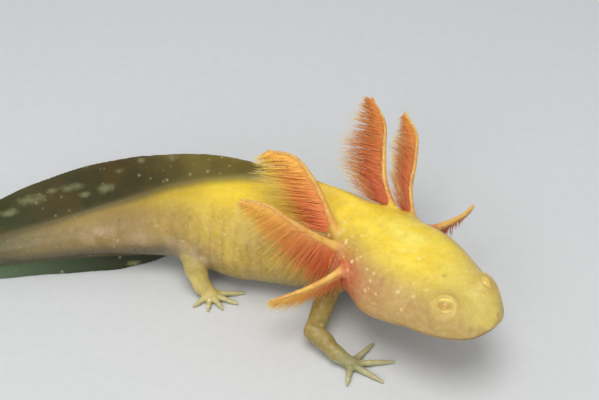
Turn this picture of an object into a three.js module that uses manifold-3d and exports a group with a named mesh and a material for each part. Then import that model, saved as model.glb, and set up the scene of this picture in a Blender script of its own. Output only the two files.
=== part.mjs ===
// An axolotl (golden albino form of Ambystoma mexicanum) as a still, life-size model.
// Units are millimetres, +Z is up, and the animal stands on the plane z = 0.
// The body is one lofted form along a bent spine. Thin cuts part it into the pieces that a
// person would name, and the limbs, fins, gills and eyes meet it across the same thin gap.
import * as THREE from "three";
import { mergeVertices } from "three/addons/utils/BufferGeometryUtils.js";
import Module from "manifold-3d";

const wasm = await Module();
wasm.setup();

// ---------------------------------------------------------------- driving dimensions
const GAP = 0.3; // between neighbouring pieces
const HEAD_LENGTH = 49; // snout to the root of the gills
const NECK_END = 58; // where the trunk starts, at the shoulders
const CHEST_END = 86;
const TRUNK_END = 120; // just behind the hind legs
const TAIL_BASE_END = 150;
const TAIL_MIDDLE_END = 184;
const BODY_LENGTH = 220; // snout to the tip of the tail
const FIN_ROOT_HALF = 0.9; // half thickness of a fin where it leaves the body
const FIN_EDGE_HALF = 0.35;
const FIN_DEPTH_INSIDE = 3; // how far a fin's root starts inside the body
const RING_POINTS = 22;

// Spine: distance from the snout, heading in degrees (0 faces +X, more turns towards -Y),
// and the height above the ground of the widest level of the body.
const SPINE = [
  [0, 54, 24.6],
  [16, 54, 22.6],
  [34, 53, 20.2],
  [49, 50, 18.4],
  [60, 34, 16.2],
  [74, 18, 15.4],
  [88, 11, 15.4],
  [102, 8, 15.0],
  [116, 1, 14.8],
  [130, -6, 13.3],
  [150, -9, 11.6],
  [175, -8, 8.9],
  [198, 2, 6.2],
  [220, 14, 3.8],
];

// Body outline: distance from the snout, half width, height above and depth below that level.
const OUTLINE = [
  [0.0, 2.4, 1.2, 1.2],
  [1.0, 5.8, 2.7, 2.4],
  [3.0, 8.6, 4.0, 3.4],
  [7, 11.4, 5.8, 4.8],
  [13, 14.2, 7.8, 6.0],
  [21, 16.2, 10.0, 7.2],
  [29, 18.2, 11.7, 8.2],
  [35, 18.8, 12.8, 8.8],
  [42, 17.4, 13.6, 9.6],
  [50, 15.8, 14.3, 11.0],
  [58, 15.6, 14.8, 12.8],
  [68, 16.8, 15.8, 14.8],
  [80, 18.4, 16.4, 15.8],
  [94, 18.4, 16.0, 15.8],
  [106, 15.6, 14.6, 14.4],
  [116, 12.0, 12.7, 12.6],
  [124, 9.2, 11.0, 10.2],
  [136, 7.0, 8.9, 7.8],
  [152, 5.1, 6.6, 5.7],
  [172, 3.7, 4.8, 4.0],
  [192, 2.4, 3.5, 2.8],
  [210, 1.2, 1.9, 1.5],
  [220, 0.5, 0.6, 0.6],
];

// Fins: distance from the snout, and how far the free edge stands past the body.
const DORSAL_FIN = [
  [56, -1.6],
  [62, 0.6],
  [74, 2.4],
  [88, 4.8],
  [102, 8.0],
  [116, 10.6],
  [130, 14.2],
  [146, 15.8],
  [162, 14.8],
  [178, 12.0],
  [196, 9.0],
  [210, 5.4],
  [218, 1.4],
];
const VENTRAL_FIN = [
  [117, -1.6],
  [122, 0.6],
  [132, 4.6],
  [146, 6.4],
  [162, 5.9],
  [178, 5.0],
  [196, 4.2],
  [210, 2.6],
  [218, 0.8],
];

// Lean from upright in degrees, with the back towards +Y: of the body, and of the dorsal fin.
const LEAN = [
  [0, 0, 14],
  [74, 0, 18],
  [104, 0, 22],
  [130, 12, 26],
  [150, 20, 28],
  [180, 22, 26],
  [220, 16, 18],
];

// ---------------------------------------------------------------- small helpers
const radians = THREE.MathUtils.degToRad;
const vector = (x, y, z) => new THREE.Vector3(x, y, z);

// Column c of a table as a smooth function of column 0, with no overshoot between the rows.
function smooth(table, column) {
  const x = table.map((row) => row[0]);
  const y = table.map((row) => row[column]);
  const slope = x.slice(1).map((_, i) => (y[i + 1] - y[i]) / (x[i + 1] - x[i]));
  const tangent = x.map((_, i) => {
    if (i === 0) return slope[0];
    if (i === x.length - 1) return slope[i - 1];
    const [a, b] = [slope[i - 1], slope[i]];
    return a * b <= 0 ? 0 : (2 * a * b) / (a + b);
  });
  return (at) => {
    const last = x.length - 1;
    if (at <= x[0]) return y[0];
    if (at >= x[last]) return y[last];
    let i = 0;
    while (at > x[i + 1]) i += 1;
    const h = x[i + 1] - x[i];
    const t = (at - x[i]) / h;
    return (
      y[i] * (1 + 2 * t) * (1 - t) ** 2 +
      h * tangent[i] * t * (1 - t) ** 2 +
      y[i + 1] * t * t * (3 - 2 * t) +
      h * tangent[i + 1] * t * t * (t - 1)
    );
  };
}

// A closed geometry through rings that all have the same number of points, capped at both ends.
function loft(rings) {
  const n = rings[0].length;
  const position = rings.flat().flatMap((p) => [p.x, p.y, p.z]);
  const index = [];
  for (let r = 0; r + 1 < rings.length; r += 1) {
    for (let i = 0; i < n; i += 1) {
      const [a, b] = [r * n + i, r * n + ((i + 1) % n)];
      index.push(a, b, b + n, a, b + n, a + n);
    }
  }
  const cap = (ring, base, flip) => {
    const centre = ring.reduce((sum, p) => sum.add(p), vector(0, 0, 0)).divideScalar(n);
    const c = position.length / 3;
    position.push(centre.x, centre.y, centre.z);
    for (let i = 0; i < n; i += 1) {
      const [a, b] = [base + i, base + ((i + 1) % n)];
      index.push(...(flip ? [c, a, b] : [c, b, a]));
    }
  };
  cap(rings[0], 0, false);
  cap(rings[rings.length - 1], (rings.length - 1) * n, true);
  const geometry = new THREE.BufferGeometry();
  geometry.setAttribute("position", new THREE.Float32BufferAttribute(position, 3));
  geometry.setIndex(index);
  return geometry;
}

// A geometry as a solid that can be joined and cut, with its faces turned to point out.
function solid(geometry) {
  const bare = geometry.clone();
  bare.deleteAttribute("normal");
  bare.deleteAttribute("uv");
  const merged = mergeVertices(bare, 1e-4);
  const vertProperties = new Float32Array(merged.attributes.position.array);
  const triVerts = new Uint32Array(merged.index.array);
  const made = new wasm.Manifold(new wasm.Mesh({ numProp: 3, vertProperties, triVerts }));
  if (made.volume() > 0) return made;
  const turned = new Uint32Array(triVerts).reverse();
  return new wasm.Manifold(new wasm.Mesh({ numProp: 3, vertProperties, triVerts: turned }));
}

const join = (solids) => solids.reduce((sum, next) => sum.add(next));

// The largest body of a solid, without the slivers that a cut can leave.
function largest(made) {
  return made.decompose().reduce((best, next) => (next.volume() > best.volume() ? next : best));
}

function geometryOf(made) {
  const mesh = made.getMesh();
  const position = new THREE.Float32BufferAttribute(Array.from(mesh.vertProperties), 3);
  const geometry = new THREE.BufferGeometry();
  geometry.setAttribute("position", position);
  geometry.setIndex(Array.from(mesh.triVerts));
  geometry.computeVertexNormals();
  return geometry;
}

// ---------------------------------------------------------------- the spine
const headingAt = smooth(SPINE, 1);
const levelAt = smooth(SPINE, 2);
const leanAt = smooth(LEAN, 1);
const finLeanAt = smooth(LEAN, 2);

// The spine is walked back from the snout in small steps, then moved so that the root of the
// gills stands over x = 0, y = 0.
const WALK_STEP = 0.5;
const walked = [vector(0, 0, levelAt(0))];
for (let s = 0; s < BODY_LENGTH + 4; s += WALK_STEP) {
  const heading = radians(headingAt(s + WALK_STEP / 2));
  const last = walked[walked.length - 1];
  const x = last.x - Math.cos(heading) * WALK_STEP;
  const y = last.y + Math.sin(heading) * WALK_STEP;
  walked.push(vector(x, y, levelAt(s + WALK_STEP)));
}
const gillPlace = walked[Math.round(HEAD_LENGTH / WALK_STEP)].clone().setZ(0);
walked.forEach((place) => place.sub(gillPlace));

// The body's frame at a distance from the snout: its place, and the forward, left and up ways.
function frameAt(s, lean = leanAt(s)) {
  const at = THREE.MathUtils.clamp(s / WALK_STEP, 0, walked.length - 1.001);
  const i = Math.floor(at);
  const place = walked[i].clone().lerp(walked[i + 1], at - i);
  const heading = radians(headingAt(s));
  const rise = (levelAt(Math.max(s - 1, 0)) - levelAt(s + 1)) / 2;
  const forward = vector(Math.cos(heading), -Math.sin(heading), rise).normalize();
  const left = vector(0, 0, 1).cross(forward).normalize();
  const up = forward.clone().cross(left);
  left.applyAxisAngle(forward, -radians(lean));
  up.applyAxisAngle(forward, -radians(lean));
  return { place, forward, left, up };
}

// A point given by its distance to the left of the spine and above it.
function bodyPoint(s, left, up, lean) {
  const frame = frameAt(s, lean);
  return frame.place.clone().addScaledVector(frame.left, left).addScaledVector(frame.up, up);
}

// ---------------------------------------------------------------- head, trunk and tail
const halfWidthAt = smooth(OUTLINE, 1);
const aboveAt = smooth(OUTLINE, 2);
const belowAt = smooth(OUTLINE, 3);

const EYE = { station: 9.8, side: 7.3, rise: 6.3, radius: 2.9 };

// Swellings of the head: place along it, angle above the widest level in degrees, height, reach.
const SWELLINGS = [
  { station: EYE.station, angle: 56, height: 2.6, reach: 4.4 }, // round the eyes
  { station: 33, angle: -14, height: 0.9, reach: 8 }, // jaw muscle
];

// The outline across the body is rounder than an ellipse on top and squarer at the sides.
const SIDE_POWER = 0.92;
const TOP_POWER = 0.92;
const LOW_POWER = 0.9;

function bodyRing(s, grow) {
  const frame = frameAt(s);
  const [w, t, b] = [halfWidthAt(s) + grow, aboveAt(s) + grow, belowAt(s) + grow];
  const headness = THREE.MathUtils.smoothstep(NECK_END - s, 0, 20);
  const shape = (value, power) => Math.sign(value) * Math.abs(value) ** power;
  return Array.from({ length: RING_POINTS }, (_, i) => {
    const angle = (2 * Math.PI * i) / RING_POINTS;
    const [c, sn] = [Math.cos(angle), Math.sin(angle)];
    const side = shape(c, SIDE_POWER) * w;
    const topPower = TOP_POWER - 0.04 * headness;
    const lowPower = LOW_POWER - 0.14 * headness;
    const rise = sn >= 0 ? shape(sn, topPower) * t : shape(sn, lowPower) * b;
    const above = THREE.MathUtils.radToDeg(Math.atan2(rise / t, Math.abs(side) / w));
    let push = 0;
    for (const swelling of SWELLINGS) {
      const along = (s - swelling.station) / swelling.reach;
      const round = (radians(above - swelling.angle) * w) / swelling.reach;
      push += swelling.height * Math.exp(-along * along - round * round);
    }
    const size = 1 + push / Math.max(Math.hypot(side, rise), 1);
    return frame.place
      .clone()
      .addScaledVector(frame.left, side * size)
      .addScaledVector(frame.up, rise * size);
  });
}

const SNOUT_END = 4;
const SNOUT_SPACING = 1.3; // between the rings of the loft
const HEAD_SPACING = 4;
const TRUNK_SPACING = 7.5;

function bodySolid(grow) {
  const spacing = (s) => {
    if (s < SNOUT_END) return SNOUT_SPACING;
    return s < NECK_END ? HEAD_SPACING : TRUNK_SPACING;
  };
  const rings = [];
  for (let s = 0; s < BODY_LENGTH; s += spacing(s)) rings.push(bodyRing(s, grow));
  rings.push(bodyRing(BODY_LENGTH, grow));
  return solid(loft(rings));
}

// ---------------------------------------------------------------- cuts
const REACH = 400;
const FLOOR = solid(new THREE.BoxGeometry(REACH * 2, REACH * 2, REACH).translate(0, 0, -REACH / 2));

// The half of space beyond a plane through a point, on the side that a direction points to.
function beyond(point, direction) {
  const box = new THREE.BoxGeometry(REACH, REACH, REACH).translate(0, 0, REACH / 2);
  const turn = new THREE.Quaternion();
  turn.setFromUnitVectors(vector(0, 0, 1), direction.clone().normalize());
  return solid(box.applyQuaternion(turn).translate(point.x, point.y, point.z));
}

// What lies between two distances from the snout, less half a gap at each cut.
function between(made, from, to) {
  let kept = made;
  if (from !== null) {
    const { place, forward } = frameAt(from + GAP / 2);
    kept = kept.subtract(beyond(place, forward));
  }
  if (to !== null) {
    const { place, forward } = frameAt(to - GAP / 2);
    kept = kept.subtract(beyond(place, forward.clone().negate()));
  }
  return largest(kept);
}

// ---------------------------------------------------------------- tubes
// A tapered tube with round ends through some stops. Each stop has a place, a half width along
// the ground and a half thickness.
const stop = (place, wide, thick = wide) => ({ place, wide, thick });

function tube(stops, steps, sides) {
  const places = stops.map(({ place }) => place);
  const curve = new THREE.CatmullRomCurve3(places, false, "centripetal");
  const run = [0];
  for (let i = 1; i < stops.length; i += 1) {
    run.push(run[i - 1] + places[i].distanceTo(places[i - 1]));
  }
  const table = stops.map(({ wide, thick }, i) => [run[i] / run[run.length - 1], wide, thick]);
  const [wideAt, thickAt] = [smooth(table, 1), smooth(table, 2)];
  const ring = (u, shrink, slide) => {
    const way = curve.getTangentAt(u);
    const place = curve.getPointAt(u).addScaledVector(way, slide);
    const across = vector(0, 0, 1).cross(way).normalize();
    const over = way.clone().cross(across).normalize();
    return Array.from({ length: sides }, (_, i) => {
      const angle = (2 * Math.PI * i) / sides;
      return place
        .clone()
        .addScaledVector(across, Math.cos(angle) * wideAt(u) * shrink)
        .addScaledVector(over, Math.sin(angle) * thickAt(u) * shrink);
    });
  };
  const rings = Array.from({ length: steps + 1 }, (_, k) => ring(k / steps, 1, 0));
  rings.unshift(ring(0, 0.55, -thickAt(0) * 0.7));
  rings.push(ring(1, 0.55, thickAt(1) * 0.7));
  return solid(loft(rings));
}

// ---------------------------------------------------------------- fins
const FIN_SPACING = 8; // between the rings of a fin
const FIN_WAVE = 0.6; // how far the free edge waves to each side

function finSolid(table, side) {
  const edgeAt = smooth(table, 1);
  const [from, to] = [table[0][0], table[table.length - 1][0]];
  const count = Math.round((to - from) / FIN_SPACING);
  const rings = [];
  for (let k = 0; k <= count; k += 1) {
    const s = from + ((to - from) * k) / count;
    const lean = side > 0 ? finLeanAt(s) : leanAt(s);
    const body = side > 0 ? aboveAt(s) : belowAt(s);
    const root = Math.max(body - FIN_DEPTH_INSIDE, 0);
    const edge = Math.max(body + edgeAt(s), root + 0.4);
    const wave = FIN_WAVE * Math.sin(s / 8) * THREE.MathUtils.smoothstep(edgeAt(s), 1, 8);
    const half = Math.min(FIN_ROOT_HALF, Math.max(halfWidthAt(s) * 0.8, FIN_EDGE_HALF));
    const levels = [
      { rise: root, half, shift: 0 },
      { rise: (root + edge) / 2, half: (half + FIN_EDGE_HALF) / 2, shift: wave / 3 },
      { rise: edge, half: FIN_EDGE_HALF, shift: wave },
    ];
    const face = (level, way) => bodyPoint(s, level.shift + way * level.half, side * level.rise, lean);
    const out = levels.map((level) => face(level, 1));
    const back = levels.reverse().map((level) => face(level, -1));
    rings.push([...out, ...back]);
  }
  return solid(loft(rings));
}

// ---------------------------------------------------------------- gills
// Each gill is a tapering stalk with a fringe of filaments along one side. The fringe is a thin
// curved plate with a comb edge, as wide as the filaments are long. Ways and trails are in the
// head's own frame as [forward, outward, up]: a stalk turns from one way to the next over its
// length, and its filaments, long at its root, middle and tip, trail off the stalk likewise.
const GILL_STALK_HALF = 1.4;
const GILLS = {
  left: {
    upper: {
      at: [51.5, 11.2, 10.6],
      length: 39,
      ways: [[-0.83, 0.19, 0.53], [-0.57, 0.5, 0.66], [-0.52, 0.52, 0.68], [-0.91, 0, 0.42]],
      trail: [[-0.75, -0.35, 0.55], [-0.76, -0.62, 0.2], [-0.8, -0.45, 0.35]],
      long: [16, 16, 8],
    },
    middle: {
      at: [47.3, 13.6, 8.8],
      length: 39,
      ways: [[-0.76, 0.44, 0.48], [-0.47, 0.7, 0.54], [-0.59, 0.6, 0.55], [-0.96, 0.1, 0.25]],
      trail: [[-0.65, -0.1, 0.75], [-0.7, -0.3, 0.6], [-0.6, -0.5, -0.6]],
      long: [9, 10, 6],
    },
    lower: {
      at: [42.5, 16.2, 5],
      length: 19,
      ways: [[0.1, 0.98, -0.06], [0.1, 0.98, -0.02], [-0.15, 0.95, 0.25]],
      trail: [[-0.4, 0, -0.9], [-0.4, 0.1, -0.9], [-0.5, 0.4, -0.7]],
      long: [9, 8, 3],
    },
  },
  right: {
    upper: {
      at: [57, 9.5, 12.3],
      length: 35,
      ways: [[-0.45, 0, 0.89], [-0.56, 0, 0.83], [-0.75, 0.2, 0.63], [-0.68, 0.73, -0.1]],
      trail: [[-0.82, 0.3, 0.02], [-0.8, 0.5, 0.05], [-0.6, 0.78, -0.15]],
      long: [19, 20, 9],
    },
    middle: {
      at: [51.5, 13, 8.6],
      length: 34,
      ways: [[-0.39, 0.71, 0.59], [-0.55, 0.58, 0.6], [-0.68, 0.45, 0.58], [-0.65, 0.75, 0.06]],
      trail: [[-0.34, 0.2, -0.92], [-0.65, 0.4, -0.6], [-0.6, 0.75, -0.3]],
      long: [22, 17, 8],
    },
    lower: {
      at: [46.5, 16, 4.2],
      length: 24,
      ways: [[-0.12, 0.97, -0.23], [-0.32, 0.93, -0.18], [-0.5, 0.86, -0.14]],
      trail: [[-0.5, 0.1, -0.85], [-0.55, 0.3, -0.75], [-0.5, 0.7, -0.5]],
      long: [14, 12, 7],
    },
  },
};
const FRINGE_START = 0.16;
const FRINGE_ROWS = 7;
const FRINGE_COLUMNS = 2;
const FRINGE_ROOT_HALF = 0.7;
const FRINGE_TIP_HALF = 0.28;
const FRINGE_SHARE_OF_SHORT = 0.82; // every other comb tooth is shorter
const STALK_DEPTH_INSIDE = 2; // how far a stalk's root starts inside the head
const STALK_SPANS = 4;

// The value a share u of the way along a list, by straight steps from one to the next.
function stepped(list, u, blend) {
  const run = Math.min(u * (list.length - 1), list.length - 1.001);
  const i = Math.floor(run);
  return blend(list[i], list[i + 1], run - i);
}

function gillSolid({ at: [station, side, rise], length, ways, trail, long }, hand) {
  const { forward, left, up } = frameAt(HEAD_LENGTH - 6, 0);
  const turned = ([f, o, u]) => {
    const way = forward.clone().multiplyScalar(f);
    return way.addScaledVector(left, o * hand).addScaledVector(up, u).normalize();
  };
  const blend = (a, b, t) => a.clone().lerp(b, t).normalize();
  const turns = ways.map(turned);
  const trails = trail.map(turned);
  const root = bodyPoint(station, side * hand, rise);
  const places = [root.clone().addScaledVector(turns[0], -STALK_DEPTH_INSIDE), root];
  for (let k = 1; k <= STALK_SPANS; k += 1) {
    const way = stepped(turns, (k - 0.5) / STALK_SPANS, blend);
    places.push(places[places.length - 1].clone().addScaledVector(way, length / STALK_SPANS));
  }
  const thin = (k) => GILL_STALK_HALF * (1 - 0.72 * (k / (places.length - 1)) ** 0.7);
  const stalk = tube(places.map((place, k) => stop(place, thin(k))), 6, 6);
  const curve = new THREE.CatmullRomCurve3(places, false, "centripetal");
  const rings = Array.from({ length: FRINGE_ROWS + 1 }, (_, k) => {
    const u = FRINGE_START + ((0.985 - FRINGE_START) * k) / FRINGE_ROWS;
    const swing = stepped(trails, u, blend);
    const face = curve.getTangentAt(u).cross(swing).normalize();
    const full = stepped(long, u, THREE.MathUtils.lerp) * (1 - 0.7 * u ** 9);
    const reach = full * (k % 2 ? 1 : FRINGE_SHARE_OF_SHORT);
    const point = (c, way) => {
      const v = c / FRINGE_COLUMNS;
      const half = FRINGE_ROOT_HALF + (FRINGE_TIP_HALF - FRINGE_ROOT_HALF) * v;
      const out = curve.getPointAt(u).addScaledVector(swing, reach * v);
      return out.addScaledVector(face, way * half);
    };
    const columns = Array.from({ length: FRINGE_COLUMNS + 1 }, (_, c) => c);
    return [...columns.map((c) => point(c, 1)), ...columns.reverse().map((c) => point(c, -1))];
  });
  return join([stalk, solid(loft(rings))]);
}

// ---------------------------------------------------------------- limbs
// A limb bends at its elbow or knee and at its wrist or ankle. Its toes lie on the ground.
const FORELEG_HALF = { top: 3.7, bend: 3.1, wrist: 2.2, palm: 1.7, toe: 0.8 };
const HINDLEG_HALF = { top: 4.2, bend: 3.3, wrist: 2.3, palm: 1.8, toe: 0.8 };

const TOE_TIP_LEVEL = 0.4;
const TOE_PRESS = 0.8; // level of a toe's middle in half widths, so its underside lies flat

function limbSolids({ top, bend, wrist, palm, toes }, half) {
  const stops = [
    stop(top, half.top * 1.1, half.top),
    stop(bend, half.bend * 1.05, half.bend),
    stop(wrist, half.wrist * 1.15, half.wrist),
    stop(palm, half.palm * 1.9, half.palm),
  ];
  const whole = tube(stops, 8, 8);
  const fingers = toes.map(([x, y]) => {
    const tip = vector(x, y, TOE_TIP_LEVEL);
    const knuckle = palm.clone().lerp(tip, 0.16);
    const joint = palm.clone().lerp(tip, 0.6).setZ(half.toe * TOE_PRESS);
    const toe = [stop(knuckle, half.palm * 0.66), stop(joint, half.toe), stop(tip, half.toe * 0.62)];
    return tube(toe, 2, 5);
  });
  const way = (from, to) => to.clone().sub(from).normalize();
  const upperCut = way(top, bend).add(way(bend, wrist));
  const lowerCut = way(bend, wrist).add(way(wrist, palm));
  const after = (point, direction, slide) =>
    beyond(point.clone().addScaledVector(direction.clone().normalize(), slide), direction);
  return {
    upper: whole.subtract(after(bend, upperCut, -GAP / 2)),
    lower: whole
      .intersect(after(bend, upperCut, GAP / 2))
      .subtract(after(wrist, lowerCut, -GAP / 2)),
    foot: join([whole.intersect(after(wrist, lowerCut, GAP / 2)), ...fingers]),
  };
}

const LIMBS = {
  foreleg_right: {
    half: FORELEG_HALF,
    top: vector(-14.5, -4, 10.5),
    bend: vector(-20, -21, 5.8),
    wrist: vector(-13.2, -28, 3.2),
    palm: vector(-9, -30.4, 1.5),
    toes: [[-1.7, -21.2], [4.3, -28.8], [0.5, -37], [-10.3, -38.2]],
  },
  foreleg_left: {
    half: FORELEG_HALF,
    top: vector(-3, 18, 10.5),
    bend: vector(2, 29, 6.5),
    wrist: vector(8, 30.5, 3.2),
    palm: vector(12, 30, 1.5),
    toes: [[16, 22.5], [21.5, 27.5], [20.5, 34], [13, 37]],
  },
  hindleg_right: {
    half: HINDLEG_HALF,
    top: vector(-60, 11, 12),
    bend: vector(-58.5, 4.6, 8.8),
    wrist: vector(-56, 2, 3.4),
    palm: vector(-53.4, 0.4, 1.5),
    toes: [[-58.6, -4.4], [-53.9, -6.4], [-49.2, -5.6], [-44.6, -3.2], [-42.6, 1.8]],
  },
  hindleg_left: {
    half: HINDLEG_HALF,
    top: vector(-58, 28.5, 12),
    bend: vector(-59, 36, 8.8),
    wrist: vector(-57.5, 40, 3.4),
    palm: vector(-55.5, 42.5, 1.5),
    toes: [[-60.5, 47], [-56.5, 49.5], [-51.5, 50], [-46.5, 47.8], [-44.5, 42.5]],
  },
};

// ---------------------------------------------------------------- the whole animal
const GOLD = 0xe6cd5c;
const GOLD_FLANK = 0xd8b75a;
const CHEEK = 0xd4b275;
const LIMB = 0xc3ab68;
const FIN = 0x7a7442;
const GILL = 0xcf7a47;
const EYE_COLOUR = 0xcfae60;

const axolotl = new THREE.Group();
axolotl.name = "axolotl";

function place(name, made, color, roughness = 0.35) {
  const grounded = largest(made.subtract(FLOOR));
  const material = new THREE.MeshStandardMaterial({ color, roughness, metalness: 0 });
  const mesh = new THREE.Mesh(geometryOf(grounded), material);
  mesh.name = name;
  axolotl.add(mesh);
}

const body = bodySolid(0);
const roomForBody = bodySolid(GAP);

// Head, with sockets for the eyes, parted from the lower jaw along the line of the mouth.
const MOUTH = { rise: -0.9, corner: 25, slope: 0.06 };

function eyeball(hand, radius) {
  const centre = bodyPoint(EYE.station, EYE.side * hand, EYE.rise);
  return solid(new THREE.SphereGeometry(radius, 12, 7).translate(centre.x, centre.y, centre.z));
}

function belowMouth(slide) {
  const { forward, up } = frameAt(MOUTH.corner);
  const hinge = bodyPoint(MOUTH.corner, 0, MOUTH.rise - MOUTH.slope * MOUTH.corner + slide);
  const down = up.clone().negate().addScaledVector(forward, MOUTH.slope).normalize();
  const front = bodyPoint(MOUTH.corner + slide, 0, 0);
  return beyond(hinge, down).intersect(beyond(front, forward));
}

const wholeHead = between(body, null, HEAD_LENGTH)
  .subtract(eyeball(1, EYE.radius + GAP))
  .subtract(eyeball(-1, EYE.radius + GAP));
place("head", wholeHead.subtract(belowMouth(GAP)), GOLD);
place("lower_jaw", wholeHead.intersect(belowMouth(0)), CHEEK);
place("eye_left", eyeball(1, EYE.radius), EYE_COLOUR, 0.1);
place("eye_right", eyeball(-1, EYE.radius), EYE_COLOUR, 0.1);

place("neck", between(body, HEAD_LENGTH, NECK_END), GOLD);
place("trunk_front", between(body, NECK_END, CHEST_END), GOLD);
place("trunk_rear", between(body, CHEST_END, TRUNK_END), GOLD_FLANK);
place("tail_base", between(body, TRUNK_END, TAIL_BASE_END), GOLD_FLANK);
place("tail_middle", between(body, TAIL_BASE_END, TAIL_MIDDLE_END), GOLD_FLANK);
place("tail_tip", between(body, TAIL_MIDDLE_END, null), GOLD_FLANK);

const dorsal = finSolid(DORSAL_FIN, 1).subtract(roomForBody);
const ventral = finSolid(VENTRAL_FIN, -1).subtract(roomForBody);
place("dorsal_fin_trunk", between(dorsal, NECK_END, TRUNK_END), FIN);
place("dorsal_fin_tail_base", between(dorsal, TRUNK_END, TAIL_BASE_END), FIN);
place("dorsal_fin_tail_middle", between(dorsal, TAIL_BASE_END, TAIL_MIDDLE_END), FIN);
place("dorsal_fin_tail_tip", between(dorsal, TAIL_MIDDLE_END, null), FIN);
place("ventral_fin_tail_base", between(ventral, TRUNK_END, TAIL_BASE_END), FIN);
place("ventral_fin_tail_middle", between(ventral, TAIL_BASE_END, TAIL_MIDDLE_END), FIN);
place("ventral_fin_tail_tip", between(ventral, TAIL_MIDDLE_END, null), FIN);

for (const [name, { half, ...stops }] of Object.entries(LIMBS)) {
  for (const [length, made] of Object.entries(limbSolids(stops, half))) {
    place(`${name}_${length}`, made.subtract(roomForBody), LIMB);
  }
}

for (const [side, hand] of [["left", 1], ["right", -1]]) {
  for (const [level, gill] of Object.entries(GILLS[side])) {
    const made = gillSolid(gill, hand);
    place(`gill_${side}_${level}`, made.subtract(roomForBody), GILL);
  }
}

// The origin is the middle of the animal's own box, on the ground.
const box = new THREE.Box3().setFromObject(axolotl);
const middle = box.getCenter(vector(0, 0, 0));
axolotl.position.set(-middle.x, -middle.y, -box.min.z);
axolotl.updateMatrixWorld(true);

export default axolotl;
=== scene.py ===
"""A golden axolotl, still and life-size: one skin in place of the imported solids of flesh, two eyes, and
the fine filaments of the gills. Lengths in the tables are millimetres from the root of the gills."""

import math

import bpy
import numpy as np
import openvdb
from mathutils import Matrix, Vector


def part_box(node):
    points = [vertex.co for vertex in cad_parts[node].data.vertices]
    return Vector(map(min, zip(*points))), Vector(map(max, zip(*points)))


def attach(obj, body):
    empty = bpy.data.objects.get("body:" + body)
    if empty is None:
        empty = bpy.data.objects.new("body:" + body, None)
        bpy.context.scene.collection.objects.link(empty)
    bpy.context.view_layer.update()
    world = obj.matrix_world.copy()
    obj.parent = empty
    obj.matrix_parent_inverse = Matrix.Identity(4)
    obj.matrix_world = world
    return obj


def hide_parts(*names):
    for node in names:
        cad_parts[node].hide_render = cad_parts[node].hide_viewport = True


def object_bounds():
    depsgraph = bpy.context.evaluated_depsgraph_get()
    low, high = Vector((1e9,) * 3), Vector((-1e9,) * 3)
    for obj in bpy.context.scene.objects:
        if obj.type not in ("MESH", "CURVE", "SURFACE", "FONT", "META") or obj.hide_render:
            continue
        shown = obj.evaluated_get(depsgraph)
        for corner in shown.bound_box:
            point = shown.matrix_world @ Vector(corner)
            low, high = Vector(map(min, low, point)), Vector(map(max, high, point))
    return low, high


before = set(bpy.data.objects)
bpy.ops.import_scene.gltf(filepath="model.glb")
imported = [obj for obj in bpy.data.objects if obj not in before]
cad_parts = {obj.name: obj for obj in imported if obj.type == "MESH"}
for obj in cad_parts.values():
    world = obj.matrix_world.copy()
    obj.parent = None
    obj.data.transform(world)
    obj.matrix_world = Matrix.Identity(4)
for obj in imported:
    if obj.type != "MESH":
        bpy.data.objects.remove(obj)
cad_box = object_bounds()
SEED = 11
MM = 0.001

# ---- sizes shared with the solids
HEAD_LENGTH = 49.0
BODY_LENGTH = 220.0
WALK_STEP = 0.5
# Distance from the snout, heading in degrees, height of the widest level above the ground.
SPINE = np.array([
    [0, 54, 24.6], [16, 54, 22.6], [34, 53, 20.2], [49, 50, 18.4], [60, 34, 16.2], [74, 18, 15.4],
    [88, 11, 15.4], [102, 8, 15.0], [116, 1, 14.8], [130, -6, 13.3], [150, -9, 11.6], [175, -8, 8.9],
    [198, 2, 6.2], [220, 14, 3.8],
], float)
# Distance from the snout, half width, height above and depth below the widest level.
OUTLINE = np.array([
    [0, 2.4, 1.2, 1.2], [1, 5.8, 2.7, 2.4], [3, 8.6, 4.0, 3.4], [7, 11.4, 5.8, 4.8], [13, 14.2, 7.8, 6.0],
    [21, 16.2, 10.0, 7.2], [29, 18.2, 11.7, 8.2], [35, 18.8, 12.8, 8.8], [42, 17.4, 13.6, 9.6],
    [50, 15.8, 14.3, 11.0], [58, 15.6, 14.8, 12.8], [68, 16.8, 15.8, 14.8], [80, 18.4, 16.4, 15.8],
    [94, 18.4, 16.0, 15.8], [106, 15.6, 14.6, 14.4], [116, 12.0, 12.7, 12.6], [124, 9.2, 11.0, 10.2],
    [136, 7.0, 8.9, 7.8], [152, 5.1, 6.6, 5.7], [172, 3.7, 4.8, 4.0], [192, 2.4, 3.5, 2.8],
    [210, 1.2, 1.9, 1.5], [220, 0.5, 0.6, 0.6],
], float)
# Distance from the snout, and how far a fin's edge stands past the body.
DORSAL_FIN = np.array([
    [56, -1.6], [62, 0.6], [74, 2.4], [88, 4.8], [102, 8.0], [116, 10.6], [130, 14.2], [146, 15.8],
    [162, 14.8], [178, 12.0], [196, 9.0], [210, 5.4], [218, 1.4],
], float)
VENTRAL_FIN = np.array([
    [117, -1.6], [122, 0.6], [132, 4.6], [146, 6.4], [162, 5.9], [178, 5.0], [196, 4.2], [210, 2.6],
    [218, 0.8],
], float)
# Distance from the snout, lean in degrees of the body and of the dorsal fin.
LEAN = np.array([
    [0, 0, 14], [74, 0, 18], [104, 0, 22], [130, 12, 26], [150, 20, 28], [180, 22, 26], [220, 16, 18],
], float)
EYE = {"station": 9.8, "side": 7.3, "rise": 6.3, "radius": 2.9}
MOUTH = {"rise": -0.9, "slope": 0.06, "end": 22.5}
GILL_STALK_HALF = 1.4
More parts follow.
